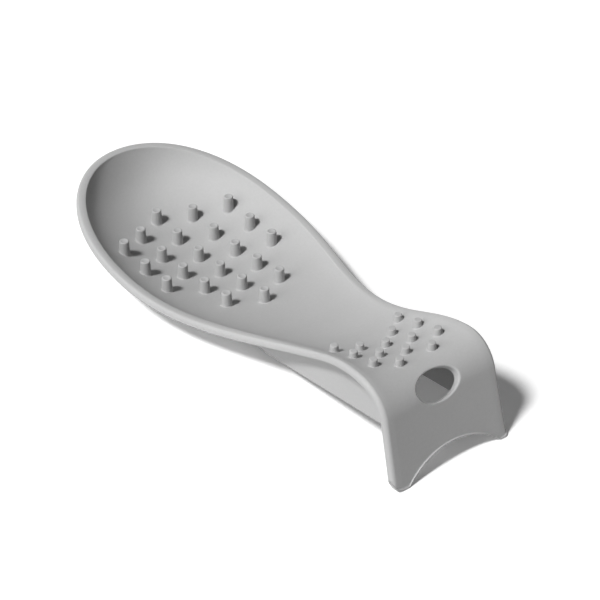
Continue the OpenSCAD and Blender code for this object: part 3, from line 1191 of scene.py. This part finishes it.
@dataclass
class SupportWeb(Piece):
    """One of the two thin upright webs between the bowl, the neck and the leg.

    Args:
        side: which web it is.
        gap: distance between the middles of the two webs.
        thick: thickness.
        low_z: height of the level part of its lower edge.
        high_z: height at which the lower edge meets the leg.
        start: place along the path where the web starts.
        level: how much of the way to the crest the lower edge stays level.
        root: how far the web reaches into the moulding.
        edge_r: radius of its lower edge.
        fillet: radius of the fillet under the moulding.
        most: most that each of these two takes of the web's height.
        edge_n, fillet_n: points over them.
        feel_n: points at which the underside is measured.
        along_n: sections along the web.
    """

    side: Side
    gap: float = 35.8 * MM
    thick: float = 2.2 * MM
    low_z: float = 5.0 * MM
    high_z: float = 18.8 * MM
    start: float = 111.0 * MM
    level: float = 0.3
    root: float = 0.5 * MM
    edge_r: float = 0.7 * MM
    fillet: float = 1.6 * MM
    most: float = 1 / 3
    edge_n: int = 6
    fillet_n: int = 7
    feel_n: int = 400
    along_n: int = 120

    def underside(self, p: Array) -> Array:
        """Underside of the moulding over the web.

        Args:
            p: places along the path.

        Returns:
            X and Z of the points, as rows.
        """
        f = self.form
        t = self.gap / 2 / f.half_in(p)
        low = f.sink(p, t) + f.s.wall * f.steep(p, t) - self.root
        return f.at(p, 0.0, low)[:, [0, 2]]

    def section(self, high: float, low: float) -> list[Pair]:
        """Closed section between two heights.

        Args:
            high: height of its top.
            low: height of its lower edge.

        Returns:
            Places across and heights.
        """
        half, room = self.thick / 2, (high - low) * self.most
        edge, fillet = min(self.edge_r, room), min(self.fillet, room)
        rows = [
            (half + fillet * (1 - math.sin(a)), high - fillet * (1 - math.cos(a)))
            for a in quarter(self.fillet_n)
        ]
        rows += [
            (half - edge * (1 - math.cos(a)), low + edge * (1 - math.sin(a)))
            for a in quarter(self.edge_n)
        ]
        return rows + [(-y, z) for y, z in reversed(rows)]

    def build(self) -> Object:
        """Builds the web.

        Returns:
            The new object.
        """
        f = self.form
        end = f.path_end - self.high_z / math.cos(f.s.leg_lean)
        top_x, top_z = self.underside(np.linspace(self.start, end, self.feel_n)).T
        xs = np.linspace(top_x[0], top_x[-1], self.along_n)
        start_x = self.start - f.s.overall_l / 2
        level_x = start_x + (f.crest_at - self.start) * self.level
        low_x, low_z = (start_x, level_x, top_x[-1]), (self.low_z, self.low_z, top_z[-1])
        middle = self.side.value * self.gap / 2
        rows = [
            [(x, middle + y, z) for y, z in self.section(high, min(low, high))]
            for x, high, low in zip(
                xs, np.interp(xs, top_x, top_z), np.interp(xs, low_x, low_z)
            )
        ]
        builder = MeshBuilder()
        ids = builder.add(np.array(rows))
        builder.tube(ids)
        builder.face(ids[0])
        builder.face(ids[-1][::-1])
        return builder.build(self.name)


@dataclass
class NubField(Piece):
    """A field of upright nubs on the inner face.

    Args:
        rows: for each row its place across in row distances, its first place along
            in pitches and its number of nubs.
        pitch: distance between the nubs of a row.
        row_gap: distance between the rows.
        middle: place along the path of the field's middle.
        top_d, foot_d: diameters at the top and at the foot.
        high: height.
        edge_r: radius of the top's edge.
        fillet: radius of the fillet round the foot.
        dimple: depth of the dimple in the top.
        dimple_power: how flat the dimple's middle is.
        top_shares: places of the loops over the top, as shares of its flat part.
        side_shares: places of the loops down the side.
        round_n: steps over the edge and over the fillet.
        root: how far a nub reaches into the floor.
        around_n: points round a nub.
    """

    rows: tuple[tuple[float, float, int], ...]
    pitch: float
    row_gap: float
    middle: float
    top_d: float
    foot_d: float
    high: float
    edge_r: float
    fillet: float
    dimple: float = 0.0
    dimple_power: int = 4
    top_shares: tuple[float, ...] = (0.0, 0.3, 0.55, 0.75, 0.9, 1.0)
    side_shares: tuple[float, ...] = (0.3, 0.6, 1.0)
    round_n: int = 6
    root: float = 0.25 * MM
    around_n: int = 40

    def places(self) -> list[Pair]:
        """X and Y of every nub.

        Returns:
            The places, row by row.
        """
        half = self.form.s.overall_l / 2
        return [
            (self.middle + (first + i) * self.pitch - half, across * self.row_gap)
            for across, first, count in self.rows
            for i in range(count)
        ]

    def profile(self) -> list[Pair]:
        """Section of a nub, from the top's middle to the end of the foot's fillet.

        Returns:
            Radii and heights.
        """
        top_r, foot_r = self.top_d / 2, self.foot_d / 2
        high, edge, fillet = self.high, self.edge_r, self.fillet
        flat, side = top_r - edge, high - edge
        rows = [
            (share * flat, high - self.dimple * (1 - share**self.dimple_power) ** 2)
            for share in self.top_shares
        ]
        for a in quarter(self.round_n + 1)[1:]:
            rows.append((flat + edge * math.sin(a), high - edge * (1 - math.cos(a))))
        for share in self.side_shares:
            h = side + (fillet - side) * share
            rows.append((top_r + (foot_r - top_r) * (side - h) / side, h))
        foot = rows[-1][0]
        for a in quarter(self.round_n + 1)[1:]:
            rows.append((foot + fillet * (1 - math.cos(a)), fillet * (1 - math.sin(a))))
        rows.append((foot + fillet, -self.root))
        return rows

    def build(self) -> Object:
        """Builds the field as one piece, with each foot following the floor.

        Returns:
            The new object.
        """
        angles = np.linspace(0, 2 * math.pi, self.around_n, endpoint=False)
        profile = self.profile()
        builder = MeshBuilder()
        for x, y in self.places():
            base = float(self.form.floor_at(x, y))
            rows = []
            for r, h in profile:
                px, py = x + r * np.cos(angles), y + r * np.sin(angles)
                follow = np.clip(1 - 2 * h / self.high, 0, 1)
                floor = base + (self.form.floor_at(px, py) - base) * follow
                rows.append(np.stack([px, py, floor + h], axis=-1))
            ids = builder.add(np.array(rows))
            builder.tube(ids)
            builder.face(ids[-1])
        return builder.build(self.name)


@dataclass(frozen=True)
class SpoonRest:
    """The whole object.

    Args:
        form: surfaces to follow.
    """

    form: Form

    def tall_nubs(self) -> NubField:
        """Sets out the dimpled tall nubs of the bowl.

        Returns:
            Their field.
        """
        return NubField(
            form=self.form,
            name="bowl_nub_field",
            nodes=("bowl_nubs",),
            rows=((-2, -1.5, 3), (-1, -2, 5), (0, -2.5, 6), (1, -2, 5), (2, -1.5, 3)),
            pitch=16.4 * MM,
            row_gap=14.5 * MM,
            middle=74.4 * MM,
            top_d=4.4 * MM,
            foot_d=5.0 * MM,
            high=7.0 * MM,
            edge_r=0.5 * MM,
            fillet=0.5 * MM,
            dimple=0.25 * MM,
        )

    def short_nubs(self) -> NubField:
        """Sets out the short nubs of the neck.

        Returns:
            Their field.
        """
        return NubField(
            form=self.form,
            name="neck_nub_field",
            nodes=("neck_nubs",),
            rows=(
                (-2, -1.25, 3),
                (-1, -0.75, 3),
                (0, -0.25, 2),
                (1, -0.75, 3),
                (2, -1.25, 3),
            ),
            pitch=12.5 * MM,
            row_gap=8.5 * MM,
            middle=self.form.crest_at - 16.4 * MM,
            top_d=3.4 * MM,
            foot_d=4.1 * MM,
            high=3.5 * MM,
            edge_r=0.35 * MM,
            fillet=0.4 * MM,
        )

    def pieces(self) -> list[Piece]:
        """Sets out all pieces.

        Returns:
            The pieces, in the order in which they are built.
        """
        skin_nodes = (
            "bowl_shell",
            "bowl_rim",
            "neck_bridge",
            "neck_edges",
            "leg_panel",
            "leg_edges",
            "hole_collar",
        )
        return [
            Moulding(self.form, "moulding", skin_nodes),
            SupportWeb(self.form, "web_near", ("support_webs",), Side.NEAR),
            SupportWeb(self.form, "web_far", ("support_webs",), Side.FAR),
            self.tall_nubs(),
            self.short_nubs(),
        ]


@dataclass(frozen=True)
class Lamp:
    """A distant lamp.

    Args:
        name: the lamp's name.
        place: direction from the object to the lamp.
        strength: how bright it is.
        size: how wide it looks, in degrees.
    """

    name: str
    place: Point
    strength: float
    size: float

    def build(self) -> None:
        """Adds the lamp to the scene."""
        light = bpy.data.lights.new(self.name, "SUN")
        light.energy = self.strength
        light.angle = math.radians(self.size)
        lamp = bpy.data.objects.new(self.name, light)
        bpy.context.scene.collection.objects.link(lamp)
        lamp.rotation_mode = "QUATERNION"
        lamp.rotation_quaternion = Vector(self.place).to_track_quat("Z", "Y")


@dataclass(frozen=True)
class Camera:
    """The camera at the photograph's viewing angle.

    Args:
        place: where it stands.
        right, up, back: its three directions.
        lens: focal length, in millimetres.
        sensor: width of the sensor, in millimetres.
        nearest, furthest: distances between which it sees.
    """

    place: Point = (0.65767, -0.49664, 0.62637)
    right: Point = (0.6144125, 0.7889849, 0.0)
    up: Point = (-0.4712706, 0.3669981, 0.8020077)
    back: Point = (0.6327727, -0.4927628, 0.5973137)
    lens: float = 141.417
    sensor: float = 36.0
    nearest: float = 0.05
    furthest: float = 20.0

    def build(self) -> None:
        """Adds the camera to the scene."""
        data = bpy.data.cameras.new("camera")
        data.sensor_width = self.sensor
        data.lens = self.lens
        data.clip_start = self.nearest
        data.clip_end = self.furthest
        camera = bpy.data.objects.new("camera", data)
        bpy.context.scene.collection.objects.link(camera)
        axes = Matrix([Vector(way) for way in (self.right, self.up, self.back)])
        turn = axes.transposed().to_4x4()
        camera.matrix_world = Matrix.Translation(Vector(self.place)) @ turn
        bpy.context.scene.camera = camera


@dataclass(frozen=True)
class Studio:
    """Plain pale floor, soft light and the camera.

    Args:
        key: the main lamp, above the near side.
        front: a weak broad lamp, low in front of the near side.
        camera: the camera.
        fill: strength of the world's light on the object.
        background: strength of the world where it is seen.
        floor_grey: colour of the floor as it lights the object.
        floor_seen: colour of the floor where it is seen.
        floor_glow: how much the seen floor glows, which lifts its shadows.
        floor_roughness: roughness of the floor.
        floor_size: width of the floor.
    """

    key: Lamp = Lamp("key", (0.03, -0.57, 0.82), 3.25, 10.0)
    front: Lamp = Lamp("front", (-0.1, -0.94, 0.32), 1.2, 50.0)
    camera: Camera = Camera()
    fill: float = 0.045
    background: float = 1.0
    floor_grey: float = 0.65
    floor_seen: float = 1.0
    floor_glow: float = 0.11
    floor_roughness: float = 0.9
    floor_size: float = 6.0

    @staticmethod
    def seen_directly(tree: Tree) -> Socket:
        """Tells the rays that see the background from those that light the object.

        Args:
            tree: node tree to add the nodes to.

        Returns:
            Socket that is 1 for camera, glossy and transmission rays and 0 for others.
        """
        rays = add_node(tree, "ShaderNodeLightPath")
        total = rays.outputs["Is Camera Ray"]
        for kind in ("Is Glossy Ray", "Is Transmission Ray"):
            total = join(tree, Join.ADD, total, rays.outputs[kind], clamp=True)
        return total

    def build_floor(self) -> None:
        """Builds the pale floor, which is seen lighter than it lights the object."""
        bpy.ops.mesh.primitive_plane_add(size=self.floor_size, location=(0, 0, 0))
        floor = bpy.context.active_object
        floor.name = "floor"
        mat = bpy.data.materials.new("floor_paper")
        mat.use_nodes = True
        tree = mat.node_tree
        shader = tree.nodes["Principled BSDF"]
        seen = self.seen_directly(tree)
        grey = add_node(
            tree, "ShaderNodeMapRange", To_Min=self.floor_grey, To_Max=self.floor_seen
        )
        glow = join(tree, Join.MULTIPLY, seen, self.floor_glow)
        tree.links.new(seen, grey.inputs["Value"])
        tree.links.new(grey.outputs["Result"], shader.inputs["Base Color"])
        tree.links.new(glow, shader.inputs["Emission Strength"])
        shader.inputs["Emission Color"].default_value = WHITE
        shader.inputs["Roughness"].default_value = self.floor_roughness
        shader.inputs["Specular IOR Level"].default_value = 0.0
        floor.data.materials.append(mat)

    def build_world(self) -> None:
        """Builds the world: a weak even light, and white where it is seen."""
        world = bpy.data.worlds.new("studio")
        bpy.context.scene.world = world
        world.use_nodes = True
        tree = world.node_tree
        light = tree.nodes["Background"]
        light.inputs["Color"].default_value = WHITE
        light.inputs["Strength"].default_value = self.fill
        seen = add_node(tree, "ShaderNodeBackground", Color=WHITE, Strength=self.background)
        mix = add_node(tree, "ShaderNodeMixShader")
        sources = (self.seen_directly(tree), light.outputs[0], seen.outputs[0])
        for source, socket in zip(sources, mix.inputs):
            tree.links.new(source, socket)
        tree.links.new(mix.outputs[0], tree.nodes["World Output"].inputs[0])

    def build(self) -> None:
        """Builds the floor, the lamps, the world and the camera."""
        self.build_floor()
        self.key.build()
        self.front.build()
        self.build_world()
        self.camera.build()
        bpy.context.scene.view_settings.view_transform = "Standard"


def main() -> None:
    """Builds every piece, the stage and the camera."""
    logging.basicConfig(level=logging.INFO, format="%(message)s")
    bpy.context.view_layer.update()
    material = Silicone(SiliconeFinish()).material("silicone_grey")
    for piece in SpoonRest(Form(FormSizes())).pieces():
        obj = piece.build()
        piece.dress(obj, material)
        LOG.info("piece %s: %d faces", piece.name, len(obj.data.polygons))
    Studio().build()
    bpy.context.view_layer.update()


if __name__ == "__main__":
    main()
